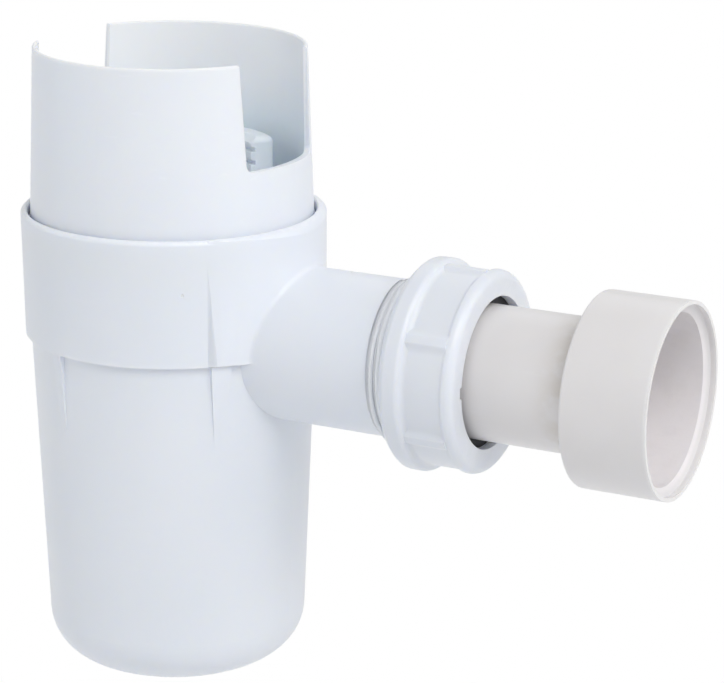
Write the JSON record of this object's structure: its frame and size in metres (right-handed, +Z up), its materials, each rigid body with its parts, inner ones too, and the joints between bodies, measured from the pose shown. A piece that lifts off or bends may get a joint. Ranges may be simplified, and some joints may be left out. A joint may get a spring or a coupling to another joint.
{
  "type": "water heater safety trap",
  "caption": "White plastic water-seal cup with a slotted guard sleeve, toothed clip for a safety valve outlet, side outlet with compression nut and stepped pipe adaptor",
  "frame": {"origin": "the middle of the toothed clip that grips the safety valve's outlet, on the upright axis of the trap", "axes": "+Z is up, along the clip and the cup; +X runs out along the outlet, towards the adaptor's mouth"},
  "size_m": [0.1698, 0.0736, 0.1543],
  "materials": {
    "cup_plastic": "smooth moulded polypropylene, cool white, soft satin gloss",
    "guard_plastic": "smooth moulded polypropylene, cool white, soft satin gloss",
    "nut_plastic": "smooth moulded polypropylene, cool white, soft satin gloss",
    "adaptor_plastic": "moulded PVC, warm grey white, satin",
    "seal_rubber": "matt black rubber"
  },
  "bodies": {
    "guard": {"guard_sleeve": "guard_plastic", "dip_tube": "guard_plastic"},
    "guard_ring": {"guard_seal": "seal_rubber"},
    "trap": {"trap_body": "cup_plastic"},
    "gland": {"outlet_seal": "seal_rubber"},
    "nut": {"compression_nut": "nut_plastic"},
    "outlet": {"adaptor": "adaptor_plastic"}
  },
  "joints": [
    {"name": "trap_turn", "type": "hinge", "parent": "guard", "child": "guard_ring", "pos_m": [0, 0, -0.0148], "axis": [0, 0, 1], "continuous": true},
    {"name": "trap_drop", "type": "slide", "parent": "guard_ring", "child": "trap", "axis": [0, 0, -1], "range_m": [0, 0.1]},
    {"name": "gland_slide", "type": "slide", "parent": "trap", "child": "gland", "axis": [1, 0, 0], "range_m": [0, 0.01247]},
    {"name": "nut_turn", "type": "hinge", "parent": "gland", "child": "nut", "pos_m": [0.0773, 0, -0.0389], "axis": [1, 0, 0], "range_deg": [0, 1944]},
    {"name": "adaptor_slide", "type": "slide", "parent": "trap", "child": "outlet", "axis": [1, 0, 0], "range_m": [0, 0.027]}
  ],
  "couplings": [
    {"joint": "gland_slide", "follows": "nut_turn", "m_per_rad": 0.00036749}
  ]
}
